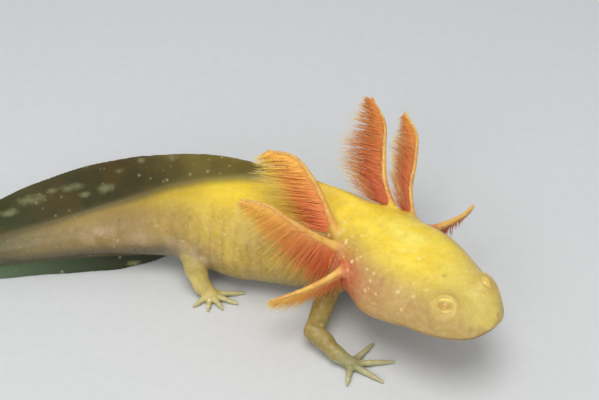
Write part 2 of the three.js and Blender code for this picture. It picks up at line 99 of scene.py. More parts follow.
# Each gill: its root as distance from the snout, left and up; its length; the filaments' length at the
# root, middle and tip; and the ways its stalk runs and its filaments trail, forward, outward and up.
GILLS = {
    ("left", "upper"): (
        [51.5, 11.2, 10.6], 39, [16, 16, 8],
        [[-0.83, 0.19, 0.53], [-0.57, 0.5, 0.66], [-0.52, 0.52, 0.68], [-0.91, 0, 0.42]],
        [[-0.75, -0.35, 0.55], [-0.76, -0.62, 0.2], [-0.8, -0.45, 0.35]],
    ),
    ("left", "middle"): (
        [47.3, 13.6, 8.8], 39, [9, 10, 6],
        [[-0.76, 0.44, 0.48], [-0.47, 0.7, 0.54], [-0.59, 0.6, 0.55], [-0.96, 0.1, 0.25]],
        [[-0.65, -0.1, 0.75], [-0.7, -0.3, 0.6], [-0.6, -0.5, -0.6]],
    ),
    ("left", "lower"): (
        [42.5, 16.2, 5], 19, [9, 8, 3],
        [[0.1, 0.98, -0.06], [0.1, 0.98, -0.02], [-0.15, 0.95, 0.25]],
        [[-0.4, 0, -0.9], [-0.4, 0.1, -0.9], [-0.5, 0.4, -0.7]],
    ),
    ("right", "upper"): (
        [57, 9.5, 12.3], 35, [19, 20, 9],
        [[-0.45, 0, 0.89], [-0.56, 0, 0.83], [-0.75, 0.2, 0.63], [-0.68, 0.73, -0.1]],
        [[-0.82, 0.3, 0.02], [-0.8, 0.5, 0.05], [-0.6, 0.78, -0.15]],
    ),
    ("right", "middle"): (
        [51.5, 13, 8.6], 34, [22, 17, 8],
        [[-0.39, 0.71, 0.59], [-0.55, 0.58, 0.6], [-0.68, 0.45, 0.58], [-0.65, 0.75, 0.06]],
        [[-0.34, 0.2, -0.92], [-0.65, 0.4, -0.6], [-0.6, 0.75, -0.3]],
    ),
    ("right", "lower"): (
        [46.5, 16, 4.2], 24, [14, 12, 7],
        [[-0.12, 0.97, -0.23], [-0.32, 0.93, -0.18], [-0.5, 0.86, -0.14]],
        [[-0.5, 0.1, -0.85], [-0.55, 0.3, -0.75], [-0.5, 0.7, -0.5]],
    ),
}
LIMBS = {
    "foreleg_right": {
        "half": (3.7, 3.1, 2.2, 1.7, 0.8),
        "joints": [[-14.5, -4, 10.5], [-20, -21, 5.8], [-13.2, -28, 3.2], [-9, -30.4, 1.5]],
        "toes": [[-1.7, -21.2], [4.3, -28.8], [0.5, -37], [-10.3, -38.2]],
    },
    "foreleg_left": {
        "half": (3.7, 3.1, 2.2, 1.7, 0.8),
        "joints": [[-3, 18, 10.5], [2, 29, 6.5], [8, 30.5, 3.2], [12, 30, 1.5]],
        "toes": [[16, 22.5], [21.5, 27.5], [20.5, 34], [13, 37]],
    },
    "hindleg_right": {
        "half": (4.1, 3.2, 2.6, 1.9, 0.8),
        "joints": [[-60, 11, 12], [-58.5, 4.6, 8.8], [-56, 2, 3.4], [-53.4, 0.4, 1.5]],
        "toes": [[-58.6, -4.4], [-53.9, -6.4], [-49.2, -5.6], [-44.6, -3.2], [-42.6, 1.8]],
    },
    "hindleg_left": {
        "half": (4.2, 3.3, 2.3, 1.8, 0.8),
        "joints": [[-58, 28.5, 12], [-59, 36, 8.8], [-57.5, 40, 3.4], [-55.5, 42.5, 1.5]],
        "toes": [[-60.5, 47], [-56.5, 49.5], [-51.5, 50], [-46.5, 47.8], [-44.5, 42.5]],
    },
}


# ---- small helpers
def smooth(table, column, at):
    """Column of a table as a smooth function of column 0, with no overshoot between the rows."""
    x, y = table[:, 0], table[:, column]
    h = np.diff(x)
    slope = np.diff(y) / h
    a, b = slope[:-1], slope[1:]
    middle = np.where(a * b > 0, 2 * a * b / np.where(a + b == 0, 1, a + b), 0)
    tangent = np.concatenate([[slope[0]], middle, [slope[-1]]])
    at = np.clip(np.asarray(at, float), x[0], x[-1])
    i = np.clip(np.searchsorted(x, at, side="left") - 1, 0, len(x) - 2)
    t = (at - x[i]) / h[i]
    early = y[i] * (1 + 2 * t) + h[i] * tangent[i] * t
    late = y[i + 1] * (3 - 2 * t) + h[i] * tangent[i + 1] * (t - 1)
    return early * (1 - t) ** 2 + late * t**2


def ramp(x, low, high):
    """0 at low, 1 at high, and smooth between them. Either may be the larger."""
    t = np.clip((np.asarray(x, float) - low) / (high - low), 0, 1)
    return t * t * (3 - 2 * t)


def bell(x, middle, reach):
    """1 at middle, falling off on both sides over reach."""
    return np.exp(-(((np.asarray(x, float) - middle) / reach) ** 2))


def unit(v):
    v = np.asarray(v, float)
    return v / np.maximum(np.linalg.norm(v, axis=-1, keepdims=True), 1e-12)


def distance(points, place):
    return np.linalg.norm(points - place, axis=-1)


def turned(v, axis, angle):
    """v turned about unit axis by angle, all row by row."""
    c, s = np.cos(angle)[..., None], np.sin(angle)[..., None]
    along = (v * axis).sum(-1, keepdims=True)
    return v * c + np.cross(axis, v) * s + axis * along * (1 - c)


# ---- the spine
def walk_spine():
    """Places down the spine at each WALK_STEP, from the snout on, with the gills' root at x = y = 0."""
    s = np.arange(0, BODY_LENGTH + 4, WALK_STEP)
    heading = np.radians(smooth(SPINE, 1, s + WALK_STEP / 2))
    steps = np.stack([-np.cos(heading), np.sin(heading)], -1) * WALK_STEP
    plan = np.concatenate([[[0, 0]], np.cumsum(steps, axis=0)])
    level = smooth(SPINE, 2, np.arange(len(plan)) * WALK_STEP)
    return np.column_stack([plan - plan[round(HEAD_LENGTH / WALK_STEP)], level])


WALKED = walk_spine()


def frames_at(s, lean=None):
    """Place, forward, left and up of the body at distances from the snout."""
    s = np.asarray(s, float)
    at = np.clip(s / WALK_STEP, 0, len(WALKED) - 1.001)
    i = np.floor(at).astype(int)
    part = (at - i)[..., None]
    place = WALKED[i] * (1 - part) + WALKED[i + 1] * part
    heading = np.radians(smooth(SPINE, 1, s))
    rise = (smooth(SPINE, 2, np.maximum(s - 1, 0)) - smooth(SPINE, 2, s + 1)) / 2
    forward = unit(np.stack([np.cos(heading), -np.sin(heading), rise], -1))
    left = unit(np.cross(np.broadcast_to([0.0, 0, 1], forward.shape), forward))
    up = np.cross(forward, left)
    lean = smooth(LEAN, 1, s) if lean is None else np.broadcast_to(lean, s.shape)
    angle = -np.radians(lean)
    return place, forward, turned(left, forward, angle), turned(up, forward, angle)


def body_point(s, left, up):
    place, _, left_way, up_way = frames_at(s)
    return place + left_way * left + up_way * up


# Vertices are placed along the spine so many at a time, and down to this far before the snout.
CHUNK = 20000
BEFORE_SNOUT = -6


def body_coordinates(points):
    """Distance from the snout, and the distances to the left of the spine and above it."""
    s = np.empty(len(points))
    stations = np.arange(0, BODY_LENGTH, 2.0)
    places = frames_at(stations)[0]
    for k in range(0, len(points), CHUNK):
        part = points[k : k + CHUNK]
        s[k : k + CHUNK] = stations[distance(part[:, None], places[None]).argmin(1)]
    for _ in range(4):
        place, forward, left, up = frames_at(s)
        s = np.clip(s - ((points - place) * forward).sum(-1), BEFORE_SNOUT, BODY_LENGTH)
    place, _, left, up = frames_at(s)
    away = points - place
    return s, (away * left).sum(-1), (away * up).sum(-1)


HAND = {"left": 1, "right": -1}
EYES = {side: body_point(EYE["station"], hand * EYE["side"], EYE["rise"]) for side, hand in HAND.items()}
# The solids' frame: the boxes of the eyes' nodes say where this script's own lengths start.
ORIGIN = np.mean([np.mean(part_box("eye_" + side), 0) / MM - place for side, place in EYES.items()], 0)


def to_frame(points):
    return (np.asarray(points) + ORIGIN) * MM


# ---- lofts of the body and fins
SIDE_POWER, TOP_POWER, LOW_POWER = 0.92, 0.92, 0.9
RING = 128
# Swellings: place along the body, angle above the widest level in degrees, height, reach.
SWELLINGS = [
    (EYE["station"], 56, 2.6, 4.4),
    (33, -14, 0.9, 8.0),
]


def section_points(place, left, up, side, rise):
    """Points of sections from their distances to the left of the spine and above it."""
    return place[:, None] + left[:, None] * side[..., None] + up[:, None] * rise[..., None]


def body_rings(s):
    """Sections of the body, each a ring of points."""
    place, _, left, up = frames_at(s)
    w, t, b = (smooth(OUTLINE, k, s)[:, None] for k in (1, 2, 3))
    headness = ramp(s, 58, 38)[:, None]
    angle = 2 * np.pi * np.arange(RING)[None] / RING
    c, sn = np.cos(angle), np.sin(angle)

    def shaped(value, power):
        return np.sign(value) * np.abs(value) ** power

    side = shaped(c, SIDE_POWER) * w
    rise = np.where(
        sn >= 0,
        shaped(sn, TOP_POWER - 0.04 * headness) * t,
        shaped(sn, LOW_POWER - 0.14 * headness) * b,
    )
    above = np.degrees(np.arctan2(rise / t, np.abs(side) / w))
    push = 0
    for station, degrees, height, reach in SWELLINGS:
        along = (s[:, None] - station) / reach
        around = np.radians(above - degrees) * w / reach
        push = push + height * np.exp(-(along**2) - around**2)
    size = 1 + push / np.maximum(np.hypot(side, rise), 1)
    return section_points(place, left, up, side * size, rise * size)


def loft(rings):
    """Points, quads and triangles of a closed surface through rings."""
    count, n = rings.shape[:2]
    i, j = np.meshgrid(np.arange(count - 1), np.arange(n), indexing="ij")
    a, b = i * n + j, i * n + (j + 1) % n
    quads = np.stack([a, b, b + n, a + n], -1).reshape(-1, 4)
    last = (count - 1) * n
    j, after = np.arange(n), (np.arange(n) + 1) % n
    low = np.stack([np.full(n, count * n), after, j], -1)
    high = np.stack([np.full(n, count * n + 1), last + j, last + after], -1)
    points = np.concatenate([rings.reshape(-1, 3), [rings[0].mean(0)], [rings[-1].mean(0)]])
    return points, quads, np.concatenate([low, high])


FIN_ROOT_HALF, FIN_EDGE_HALF, FIN_DEPTH_INSIDE = 0.9, 0.33, 3.0
FIN_LEVELS = 14


def fin_rings(table, way, lean_column):
    """Sections of a fin that stands up from the spine, or down if way is -1."""
    s = np.arange(table[0, 0], table[-1, 0] + 0.01, 0.75)
    place, _, left, up = frames_at(s, smooth(LEAN, lean_column, s))
    edge_past = smooth(table, 1, s)
    body = smooth(OUTLINE, 2 if way > 0 else 3, s)
    root = np.maximum(body - FIN_DEPTH_INSIDE, 0)
    edge = np.maximum(body + edge_past, root + 0.4)
    # The free edge waves softly from side to side.
    ruffle = ramp(edge_past, 1, 8)
    wave = 0.6 * np.sin(s / 8) * ruffle
    ripple = 0.22 * np.sin(s / 2.9 + 0.6) * ruffle
    half = np.minimum(FIN_ROOT_HALF, np.maximum(smooth(OUTLINE, 1, s) * 0.8, FIN_EDGE_HALF))
    v = np.linspace(0, 1, FIN_LEVELS)[None]
    level = root[:, None] + (edge - root)[:, None] * v
    thick = half[:, None] + (FIN_EDGE_HALF - half)[:, None] * np.minimum(v * 1.6, 1) ** 0.8
    thick = thick * np.where(v == 1, 0.6, 1)
    shift = wave[:, None] * v**2 + ripple[:, None] * v**3
    faces = [section_points(place, left, up, shift + hand * thick, way * level) for hand in (1, -1)]
    return np.concatenate([faces[0], faces[1][:, ::-1]], axis=1)


# ---- distance fields
VOXEL = 0.33
PAD = 2.5
LOW = np.array(cad_box[0]) / MM - ORIGIN - PAD
HIGH = np.array(cad_box[1]) / MM - ORIGIN + PAD
SIZE = np.ceil((HIGH - LOW) / VOXEL).astype(int)
BAND = 4.0
AXES = [(LOW[k] + VOXEL * np.arange(SIZE[k])).astype(np.float32) for k in range(3)]


def field_of(rings):
    """Signed distance to a closed surface, cut off at BAND."""
    points, quads, triangles = loft(rings)
    grid = openvdb.FloatGrid.createLevelSetFromPolygons(
        ((points - LOW) / VOXEL).astype(np.float32),
        triangles=triangles.astype(np.uint32),
        quads=quads.astype(np.uint32),
        halfWidth=BAND / VOXEL,
    )
    out = np.empty(tuple(SIZE), np.float32)
    grid.copyToArray(out)
    return out * VOXEL


def block(low, high):
    """Slices of the grid round a box, and its open coordinate axes."""
    first = np.clip(np.floor((np.asarray(low) - LOW) / VOXEL).astype(int), 0, SIZE)
    last = np.clip(np.ceil((np.asarray(high) - LOW) / VOXEL).astype(int), 0, SIZE)
    cut = tuple(slice(a, b) for a, b in zip(first, last))
    x, y, z = (axis[c] for axis, c in zip(AXES, cut))
    return cut, (x[:, None, None], y[None, :, None], z[None, None, :])


def blended(a, b, k):
    """The lower of two fields, rounded where they are within k of each other."""
    h = np.clip(0.5 + 0.5 * (b - a) / k, 0, 1)
    return b + (a - b) * h - k * h * (1 - h)


def cone_field(axes, start, end, r0, r1, squash):
    """Distance to a tapered rod with round ends. squash under 1 flattens it towards the ground."""
    lift = (1, 1, 1 / squash)
    rod = [(b - a) * k for a, b, k in zip(start, end, lift)]
    off = [(axis - a) * k for axis, a, k in zip(axes, start, lift)]
    t = np.clip(sum(p * d for p, d in zip(off, rod)) / max(sum(d * d for d in rod), 1e-9), 0, 1)
    away = np.sqrt(sum((p - t * d) ** 2 for p, d in zip(off, rod)))
    return (away - (r0 + (r1 - r0) * t)).astype(np.float32)


def add_rods(own, rods, k_rods, k_body, reach):
    """Joins rods to each other, softly over k_rods, and then to the whole skin, softly over k_body, and
    to the field of their own kind. It works up to reach from them. A rod is (start, end, r0, r1, squash)."""
    ends = np.array([p for rod in rods for p in rod[:2]])
    cut, axes = block(ends.min(0) - reach, ends.max(0) + reach)
    made = None
    for start, end, r0, r1, squash in rods:
        one = cone_field(axes, start, end, r0, r1, squash)
        made = one if made is None else blended(made, one, k_rods)
    whole[cut] = blended(whole[cut], made, k_body)
    own[cut] = np.minimum(own[cut], made)


def read_at(at, known, rows):
    """Rows that belong to known places, read at others."""
    return np.stack([np.interp(at, known, column) for column in rows.T], -1)


def catmull_rom(stops, count):
    """Points along a smooth curve through stops, evenly spaced by length."""
    p = np.asarray(stops, float)
    p = np.concatenate([[2 * p[0] - p[1]], p, [2 * p[-1] - p[-2]]])
    t = np.linspace(0, 1, 24, endpoint=False)[:, None]
    fine = [
        0.5 * (2 * b + (c - a) * t + (2 * a - 5 * b + 4 * c - d) * t**2 + (3 * b - a - 3 * c + d) * t**3)
        for a, b, c, d in zip(p, p[1:], p[2:], p[3:])
    ]
    fine = np.concatenate([*fine, [p[-2]]])
    run = np.concatenate([[0], np.cumsum(distance(fine[1:], fine[:-1]))])
    return read_at(np.linspace(0, run[-1], count), run, fine)


# A toe's root, knuckle, last joint and tip: share of the way from the palm, and level.
TOE_STOPS = [(0.1, 1.35), (0.45, 1.0), (0.72, 0.78), (1, 0.45)]


def limb_rods(limb):
    """Rods of one limb: upper part, lower part, palm, and toes that taper and bend at a joint."""
    top, bend, wrist, palm = (np.array(p, float) for p in limb["joints"])
    r_top, r_bend, r_wrist, r_palm, r_toe = limb["half"]
    middle = (bend + wrist) / 2 + [0, 0, 0.25]
    arm = [
        (top, bend, r_top, r_bend * 0.97, 1.0),
        (bend, middle, r_bend * 0.96, (r_bend + r_wrist) * 0.49, 1.0),
        (middle, wrist, (r_bend + r_wrist) * 0.49, r_wrist, 1.0),
        (wrist, palm, r_wrist * 1.08, r_palm * 1.25, 0.85),
    ]
    hand = []
    for x, y in limb["toes"]:
        root, knuckle, joint, tip = (
            np.array([*(palm[:2] + (np.array([x, y]) - palm[:2]) * share), level])
            for share, level in TOE_STOPS
        )
        hand += [
            (root, knuckle, r_palm * 0.8, r_toe * 1.12, 0.9),
            (knuckle, joint, r_toe * 1.1, r_toe * 0.92, 1.0),
            (joint, tip, r_toe * 0.9, r_toe * 0.5, 1.0),
        ]
    return arm, hand


STALK_SPANS = 4


def head_ways(key, ways):
    """Directions given forward, outward and up in the head's own frame."""
    _, forward, left, up = frames_at(HEAD_LENGTH - 6, 0)
    return unit([forward * f + left * o * HAND[key[0]] + up * u for f, o, u in ways])


def gill_curve(key, count):
    """Points down the middle of a gill's stalk, from inside the head to its tip."""
    (station, side, rise), length, _, ways, _ = GILLS[key]
    turns = head_ways(key, ways)
    root = body_point(station, side * HAND[key[0]], rise)
    places = [root - turns[0] * 2, root]
    for k in range(1, STALK_SPANS + 1):
        run = (k - 0.5) / STALK_SPANS * (len(turns) - 1)
        i = int(run)
        way = unit(turns[i] + (turns[i + 1] - turns[i]) * (run - i))
        places.append(places[-1] + way * length / STALK_SPANS)
    return catmull_rom(places, count)


def stalk_half(u):
    return GILL_STALK_HALF * (1 - 0.72 * u**0.7)


def eye_axis(side):
    """The way an eye looks: outward, up and a little forward."""
    _, forward, left, up = frames_at(EYE["station"])
    return unit(forward * 0.35 + left * HAND[side] * 0.65 + up * 0.68)


def sample(values, points):
    """A field's value at points, between the voxels."""
    at = np.clip((points - LOW) / VOXEL, 0, SIZE - 1.001)
    i = at.astype(int)
    f = (at - i).astype(np.float32)
    out = 0
    for corner in np.ndindex(2, 2, 2):
        out = out + np.where(corner, f, 1 - f).prod(1) * values[tuple((i + corner).T)]
    return out


# ---- the skin's surface
# Sections are closest at the snout's round end.
SNOUT_END = 4
stations = [*np.arange(0, SNOUT_END, 0.25), *np.arange(SNOUT_END, BODY_LENGTH, 0.8), BODY_LENGTH]
core = field_of(body_rings(np.array(stations)))
whole = core.copy()
fins = np.full_like(core, BAND)
for table, way, column, softness in ((DORSAL_FIN, 1, 2, 4.5), (VENTRAL_FIN, -1, 1, 2.0)):
    fin = field_of(fin_rings(table, way, column))
    fins = np.minimum(fins, fin)
    whole = blended(whole, fin, softness)

limbs = np.full_like(core, BAND)
for limb in LIMBS.values():
    arm, hand = limb_rods(limb)
    add_rods(limbs, arm, 1.2, 2.6, 6)
    add_rods(limbs, hand, 0.5, 0.9, 4)

stalks = np.full_like(core, BAND)
STALK_STEPS = 26
for key in GILLS:
    line = gill_curve(key, STALK_STEPS)
    halves = stalk_half(np.linspace(0, 1, STALK_STEPS))
    rods = [(line[k], line[k + 1], halves[k], halves[k + 1], 1.0) for k in range(STALK_STEPS - 1)]
    add_rods(stalks, rods, 0.3, 2.8, 6)

# Skin covers each eye but for its cornea, as a low mound with a soft edge.
EYE_SKIN, EYE_OPENING = 0.24, 0.75
CORNEA_BULGE = 0.035
for side, centre in EYES.items():
    cut, axes = block(centre - 8, centre + 8)
    off = [axis - middle for axis, middle in zip(axes, centre)]
    along = sum(part * way for part, way in zip(off, eye_axis(side)))
    out = np.sqrt(sum(part**2 for part in off)) - EYE["radius"] - EYE_SKIN
    mound = -blended(-out, EYE_OPENING - along, 0.4)
    whole[cut] = blended(whole[cut], mound.astype(np.float32), 2.8)

grid = openvdb.FloatGrid(BAND)
grid.copyFromArray(whole)
points, quads = grid.convertToQuads(0.0)
points = points.astype(float) * VOXEL + LOW
quads = quads.astype(np.int64)

# Normals of the vertices, from the faces round them.
a, b, c, d = (points[corner] for corner in quads.T)
face = np.cross(c - a, d - b)
normals = np.zeros_like(points)
for corner in quads.T:
    for axis in range(3):
        normals[:, axis] += np.bincount(corner, face[:, axis], len(points))
normals = unit(normals)

s, side, rise = body_coordinates(points)
core_at, fin_at, limb_at, stalk_at = (sample(field, points) for field in (core, fins, limbs, stalks))
half_width, over, under = (smooth(OUTLINE, k, s) for k in (1, 2, 3))
around = np.degrees(np.arctan2(rise / np.where(rise > 0, over, under), np.abs(side) / half_width))
on_core = ramp(core_at, 1.6, 0.3)

# ---- sculpted detail
push = np.zeros(len(points))

# The mouth: a crease from the snout to the corner, with the upper lip standing over the jaw.
mouth_level = rise - (MOUTH["rise"] - MOUTH["slope"] * s)
mouth_part = ramp(s, MOUTH["end"], MOUTH["end"] - 3) * on_core
push -= 0.55 * mouth_part * bell(mouth_level, 0, 0.42)
push += 0.22 * mouth_part * bell(mouth_level, 1.2, 0.9)
push -= 0.30 * mouth_part * bell(mouth_level, -1.4, 1.3)

# Nostrils, well apart above the upper lip.
for hand in (1, -1):
    nostril = body_point(1.6, hand * 5.0, 1.3)
    away = distance(points, nostril)
    push -= 0.7 * bell(away, 0, 0.75) - 0.16 * bell(away, 1.5, 0.5)

# Folds between the muscle blocks of the flank, and along the tail.
FOLDS_START, FOLDS_END, FOLD_PITCH, FOLD_HALF, FOLD_DEPTH = 66.0, 176.0, 4.7, 0.75, 0.1
phase = (s - 1.8 * np.cos(np.radians(around)) - FOLDS_START) / FOLD_PITCH
fold = bell((phase - np.round(phase)) * FOLD_PITCH, 0, FOLD_HALF)
fold_part = ramp(s, FOLDS_START, FOLDS_START + 6) * ramp(s, FOLDS_END, FOLDS_END - 30)
fold_part = fold_part * ramp(around, -62, -30) * ramp(around, 62, 34) * on_core
push -= FOLD_DEPTH * fold * fold_part

# A shallow groove runs down the middle of the back, and skin folds lie behind the jaw.
push -= 0.22 * bell(side, 0, 1.6) * ramp(rise, 2, 6) * ramp(s, 30, 44) * ramp(s, 60, 52) * on_core
throat = on_core * ramp(around, -10, -40)
push -= 0.55 * bell(s, 44.5, 1.1) * throat
push += 0.25 * bell(s, 42.2, 1.6) * throat
cheek_fold = on_core * bell(around, -18, 26)
push -= 0.35 * bell(s, 40.5 + 0.03 * around, 1.3) * cheek_fold * ramp(np.abs(side), 6, 10)

# Small sense pores in curved rows round the eye and along the cheek.
PORE_DEPTH, PORE_HALF = 0.12, 0.38
pores = []
for hand in (1, -1):
    for turn in np.linspace(0, 1, 13):
        out = 10.8 + 5.2 * turn - 3 * turn**2
        pores.append(body_point(6 + 22 * turn, hand * out, 1.8 + 2.2 * math.sin(3 * turn)))
    for turn in np.linspace(0, 1, 9):
        out = 4.2 - 0.9 * math.sin(3 * turn)
        pores.append(body_point(3 + 17 * turn, hand * out, 3.8 + 5.2 * turn**0.7))
for pore in pores:
    near = np.abs(points - pore).max(1) < 6
    if near.any():
        nearest = points[near][distance(points[near], pore).argmin()]
        push[near] -= PORE_DEPTH * bell(distance(points[near], nearest), 0, PORE_HALF)

# Pale raised dots behind the eyes and along the cheeks: distance from the snout, degrees up the side.
PEARLS = [
    (17.2, 60), (20, 20), (21.7, 58), (23.8, 37), (27, 84), (29.3, 23), (32, 80), (33, 33), (33.2, 42),
    (33.5, 20), (36.5, 41), (38.5, 60), (40.6, 68), (41.5, 45), (42.3, 40), (44.6, 47), (46.5, 62), (49, 55),
    (44, 22), (46, 12), (46.5, -4), (48, 30), (50, 48), (53, 58), (55, 67),
]
PEARL_HALF, PEARL_HEIGHT = 0.42, 0.14
dots = np.random.default_rng(SEED + 1)
pearl = np.zeros(len(points))
for hand in (1, -1):
    chosen = np.where((s < 62) & (side * hand > -2) & (core_at < 1.5))[0]
    for station, degrees in PEARLS:
        if hand == 1:
            station, degrees = station + dots.uniform(-2, 2), degrees + dots.uniform(-7, 7)
        half = PEARL_HALF * dots.uniform(0.7, 1.25)
        off = np.hypot(s[chosen] - station, np.radians(around[chosen] - degrees) * half_width[chosen])
        nearest = points[chosen[off.argmin()]]
        dot = bell(distance(points[chosen], nearest), 0, half)
        pearl[chosen] = np.maximum(pearl[chosen], dot * dots.uniform(0.6, 1.0))
        push[chosen] += PEARL_HEIGHT * dot

# The skin rises softly to each eye's mound.
for centre in EYES.values():
    off = distance(points, centre) - EYE["radius"]
    push += 0.55 * bell(off, 2.3, 2.6) * ramp(off, 0.3, 1.9)

points = points + normals * push[:, None]
# The lower fin's edge settles on the ground, and nothing goes under it.
FIN_SETTLING = 0.55
points[:, 2] -= FIN_SETTLING * ramp(-rise - under, 0.5, 4) * ramp(s, 146, 156)
points[:, 2] = np.maximum(points[:, 2], 0.0)

# ---- where the skin's colours lie
stalk_part = ramp(core_at, 0.4, 2.2) * ramp(stalk_at, 0.9, 0.1)
fin_start, fin_full = np.where(rise < 0, 0, -0.4), np.where(rise < 0, 1.6, 3.4)
fin_part = ramp(core_at, fin_start, fin_full) * ramp(fin_at, 0.8, 0) * ramp(s, 57, 60)
limb_part = ramp(core_at, -0.6, 2.4) * ramp(limb_at, 1.2, 0) * (1 - stalk_part)
gill_roots = [gill_curve(key, 12)[2] for key in GILLS]


def nearest_of(places):
    """Each vertex's distance to the nearest of a few places."""
    return np.min([distance(points, place) for place in places], axis=0)


root_away = nearest_of(gill_roots)
palm_away = nearest_of([limb["joints"][3] for limb in LIMBS.values()])
eye_away = nearest_of(EYES.values())
# Pale blotches on the tail's fin, and a cloudy patch on its side: distance from the snout, height,
# half length and half height.
BLOTCHES = [
    (151, 17, 4, 1.1), (164, 15.2, 5, 1.5), (140, 15, 2.8, 1.5), (127, 22, 1.2, 0.8), (118.5, 21, 1.2, 0.9),
    (172, 12.5, 3, 1.2), (184, 10, 4, 1.5), (135, 20, 1.5, 0.8), (157, 17, 2, 0.8), (147, 14, 2, 0.8),
    (152, -13, 4, 1.2), (136, -12, 2.4, 0.9), (166, -12, 3, 1.1),
]
CLOUDS = [(143, 1.5, 5.5, 2.8), (130, 0.5, 5, 2.6), (119, -0.5, 3, 2)]


def patches(table):
    """How deep inside the nearest of a table's ellipses each vertex is, from 0 outside to 1."""
    away = [np.hypot((s - row[0]) / row[2], (rise - row[1]) / row[3]) for row in table]
    return np.maximum(1 - np.min(away, axis=0) / 1.6, 0)


# A few dark pinpoints on the right side: distance from the snout, degrees up the side.
FRECKLES = [(137, 45), (113, 44), (18, 88), (126, 30), (100, 8)]
FRECKLE_HALF = 0.42
away = [np.hypot(s - station, np.radians(around - degrees) * half_width) for station, degrees in FRECKLES]
freckle = bell(np.min(away, axis=0), 0, FRECKLE_HALF) * (side <= 0.5)
# The gold of the back reaches further down the left side than the right: painted light on the left side.
gold_and_light_turn = around + 9 * (1 + np.tanh(side / 3))
# The fin's olive spreads down its broad root, further on the trunk than on the tail.
crest_reach = 4.2 - 1.7 * ramp(s, 112, 146)
marks = {
    "top": ramp(gold_and_light_turn, 34, 84),
    "flank": ramp(around, 24 * bell(s, 122, 12) - 54, 10),
    "head": ramp(s, 56, 38),
    "snout": ramp(s, 31, 5),
    "tail": ramp(s, 98, 140),
    "tail_end": ramp(s, 136, 190),
    "crest": ramp(fin_at, crest_reach, 0) * ramp(rise, 0, 3) * ramp(s, 70, 96),
    "fin": fin_part,
    "limb": limb_part,
    "hand": limb_part * ramp(palm_away, 8, 3) * (1 - 0.7 * ramp(s, 70, 90)),
    "toe": limb_part * ramp(palm_away, 2.0, 5.5) * ramp(points[:, 2], 3.4, 2.2),
    "stalk": stalk_part,
    "flush": bell(root_away, 0, 9.6) * (1 - 0.95 * ramp(around, 22, 54)) * (1 - 0.5 * limb_part),
    # Painted shade along the mouth's crease.
    "mouth": mouth_part * bell(mouth_level, -0.1, 0.55),
    # Painted shade under the jaw.
    "jaw": ramp(s, 30, 20) * ramp(mouth_level, 0.4, -0.6) * on_core,
    # Painted shade: a ring of darker gold round each eye.
    "eye_ring_shade": bell(eye_away, EYE["radius"] + 0.9, 1.1),
    "fold": fold * fold_part,
    "blotch": patches(BLOTCHES),
    "cloud": patches(CLOUDS),
    "under": ramp(rise, 0, -6),
    "cheek": ramp(s, 50, 38) * ramp(gold_and_light_turn, 64, 30) * ramp(around, -60, -20) * ramp(s, 4, 16),
    "pearl": pearl,
    "crown": bell(s, 37, 8) * bell(side, 2, 4.5) * ramp(rise, 1, 4) * on_core,
    "freckle": freckle,
    "hind": limb_part * ramp(s, 75, 95) * (1 - 0.6 * ramp(points[:, 2], 6, 12)),
    "station": s / 1.5,
    "turn": around / 13 + 3 * np.tanh(side / 3),
    "hip": bell(s, 112, 9) * ramp(around, 30, -20) * (1 - fin_part),
}


# ---- making meshes
def placed(name, data):
    """A new object in the scene."""
    made = bpy.data.objects.new(name, data)
    bpy.context.scene.collection.objects.link(made)
    return made


def mesh_object(name, points, faces, marks=None):
    """A smooth mesh object from points in metres and faces, with marks as attributes."""
    mesh = bpy.data.meshes.new(name)
    mesh.from_pydata(points, [], faces)
    mesh.polygons.foreach_set("use_smooth", np.ones(len(mesh.polygons), bool))
    for label, values in (marks or {}).items():
        attribute = mesh.attributes.new(label, "FLOAT", "POINT")
        attribute.data.foreach_set("value", np.asarray(values, np.float32))
    return placed(name, mesh)


skin = mesh_object("skin", to_frame(points), quads, marks)

# ---- eyes
EYE_RINGS, EYE_SIDES = 48, 64
# How strongly each iris shows its painted highlight arcs, and its turn about its own axis in degrees, which
# sets where those arcs lie.
EYE_PAINTED_GLINT = {"right": 0.8, "left": 0.1}
EYE_TURN = {"right": 20.0, "left": 0.0}
eyeballs = {}
for eye_side, centre in EYES.items():
    axis = eye_axis(eye_side)
    across = turned(unit(np.cross(axis, [0, 0, 1])), axis, np.radians(EYE_TURN[eye_side]))
    over_eye = np.cross(across, axis)
    rings, turns = np.arange(1, EYE_RINGS) / EYE_RINGS, np.arange(EYE_SIDES) / EYE_SIDES
    polar, turn = np.meshgrid(math.pi * rings, 2 * math.pi * turns, indexing="ij")
    # The cornea stands a little proud of the ball over the iris.
    reach = EYE["radius"] * (1 + CORNEA_BULGE * bell(polar, 0, 0.55))
    out, wide, top = np.cos(polar), np.sin(polar) * np.cos(turn), np.sin(polar) * np.sin(turn)
    ways = zip((out, wide, top), (axis, across, over_eye))
    ball_points, ball_quads, ball_caps = loft(centre + sum((reach * k)[..., None] * way for k, way in ways))
    ball_points[-2] = centre + axis * EYE["radius"] * (1 + CORNEA_BULGE)
    ball_points[-1] = centre - axis * EYE["radius"]
    eyeballs[eye_side] = mesh_object(
        "eyeball_" + eye_side,
        to_frame(ball_points),
        [*ball_quads, *ball_caps],
        {
            "polar": [*polar.ravel(), 0, math.pi],
            "top": [*top.ravel(), 0, 0],
            "wide": [*wide.ravel(), 0, 0],
            "painted_glint": np.full(len(ball_points), EYE_PAINTED_GLINT[eye_side]),
        },
    )

# ---- gill filaments
rng = np.random.default_rng(SEED)
# Rows of filaments: how far to the side of the stalk they start, and their share of the full length.
FILAMENT_ROWS = [(0.95, 1.0), (-0.95, 1.0), (0.5, 0.93), (-0.5, 0.9), (0.1, 0.72)]
FILAMENT_PITCH = 0.17
FILAMENT_HALF = 0.13
TUBE_RINGS, TUBE_SIDES = 10, 4
FILAMENT_START, FILAMENT_END = 0.045, 0.99
LOCK_PITCH = 0.7
